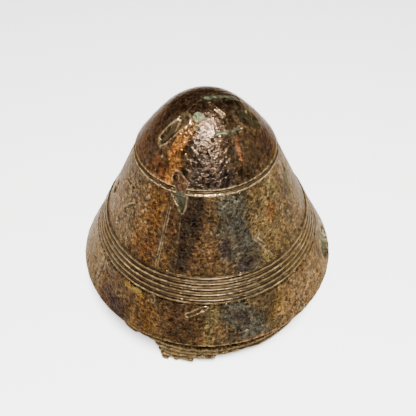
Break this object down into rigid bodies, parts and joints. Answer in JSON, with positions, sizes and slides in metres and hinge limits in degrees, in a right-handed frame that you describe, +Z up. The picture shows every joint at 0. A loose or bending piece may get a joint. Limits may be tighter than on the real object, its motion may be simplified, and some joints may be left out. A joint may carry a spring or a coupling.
{
  "type": "conical spice box",
  "caption": "Conical brass spice box: domed lid plugged into a ridged cone cover that lifts off a ringed foot holding small round bowls, an inner lid and a spoon.",
  "frame": {"origin": "centre of the plane the foot stands on, on the box's axis", "axes": "+Z up along the box's axis, -Y towards the front, where the foot's edge is broken and the lid's key sits a little left of centre"},
  "size_m": [0.1204, 0.1204, 0.1149],
  "materials": {
    "foot_brass": "worn, cast, light brown patina",
    "floor_brass": "dull, turned",
    "cover_brass": "pitted dark brown and olive patina over brass",
    "band_brass": "rubbed bright on the beads, dark in the grooves",
    "rim_brass": "rubbed bright",
    "inner_brass": "dull, turned",
    "lid_brass": "pitted dark brown patina, coppery streaks",
    "verdigris_brass": "grey-green corrosion",
    "bowl_brass": "spun, satin",
    "knob_brass": "turned, satin",
    "spoon_brass": "pressed, satin"
  },
  "bodies": {
    "base": {"base_foot": "foot_brass", "base_floor": "floor_brass"},
    "cover": {"cover_cone": "cover_brass", "ridged_band": "band_brass", "mouth_ring": "rim_brass", "mouth_collar": "inner_brass"},
    "lid": {"lid_dome": "lid_brass", "lid_neck": "inner_brass", "lid_key": "verdigris_brass", "key_rivet": "lid_brass", "crown_plugs": "verdigris_brass"},
    "inner_lid": {"inner_lid": "inner_brass", "inner_lid_knob": "knob_brass"},
    "spoon": {"spoon": "spoon_brass"},
    "bowl_centre": {"bowl_centre": "bowl_brass"},
    "bowl_1": {"bowl_1": "bowl_brass"},
    "bowl_2": {"bowl_2": "bowl_brass"},
    "bowl_3": {"bowl_3": "bowl_brass"},
    "bowl_4": {"bowl_4": "bowl_brass"},
    "bowl_5": {"bowl_5": "bowl_brass"},
    "bowl_6": {"bowl_6": "bowl_brass"}
  },
  "joints": [
    {"name": "cover_lift", "type": "slide", "parent": "base", "child": "cover", "axis": [0, 0, 1], "range_m": [0, 0.1]},
    {"name": "lid_lift", "type": "slide", "parent": "cover", "child": "lid", "axis": [0, 0, 1], "range_m": [0, 0.04]},
    {"name": "inner_lid_lift", "type": "slide", "parent": "base", "child": "inner_lid", "axis": [0, 0, 1], "range_m": [0, 0.046]},
    {"name": "spoon_lift", "type": "slide", "parent": "base", "child": "spoon", "axis": [0, 0, 1], "range_m": [0, 0.06]},
    {"name": "bowl_centre_lift", "type": "slide", "parent": "base", "child": "bowl_centre", "axis": [0, 0, 1], "range_m": [0, 0.028]},
    {"name": "bowl_1_lift", "type": "slide", "parent": "base", "child": "bowl_1", "axis": [0, 0, 1], "range_m": [0, 0.028]},
    {"name": "bowl_2_lift", "type": "slide", "parent": "base", "child": "bowl_2", "axis": [0, 0, 1], "range_m": [0, 0.028]},
    {"name": "bowl_3_lift", "type": "slide", "parent": "base", "child": "bowl_3", "axis": [0, 0, 1], "range_m": [0, 0.028]},
    {"name": "bowl_4_lift", "type": "slide", "parent": "base", "child": "bowl_4", "axis": [0, 0, 1], "range_m": [0, 0.028]},
    {"name": "bowl_5_lift", "type": "slide", "parent": "base", "child": "bowl_5", "axis": [0, 0, 1], "range_m": [0, 0.028]},
    {"name": "bowl_6_lift", "type": "slide", "parent": "base", "child": "bowl_6", "axis": [0, 0, 1], "range_m": [0, 0.028]}
  ],
  "couplings": [
    {"joint": "inner_lid_lift", "follows": "cover_lift", "ratio": 0.46},
    {"joint": "spoon_lift", "follows": "cover_lift", "ratio": 0.6},
    {"joint": "bowl_centre_lift", "follows": "cover_lift", "ratio": 0.28},
    {"joint": "bowl_1_lift", "follows": "cover_lift", "ratio": 0.28},
    {"joint": "bowl_2_lift", "follows": "cover_lift", "ratio": 0.28},
    {"joint": "bowl_3_lift", "follows": "cover_lift", "ratio": 0.28},
    {"joint": "bowl_4_lift", "follows": "cover_lift", "ratio": 0.28},
    {"joint": "bowl_5_lift", "follows": "cover_lift", "ratio": 0.28},
    {"joint": "bowl_6_lift", "follows": "cover_lift", "ratio": 0.28}
  ]
}
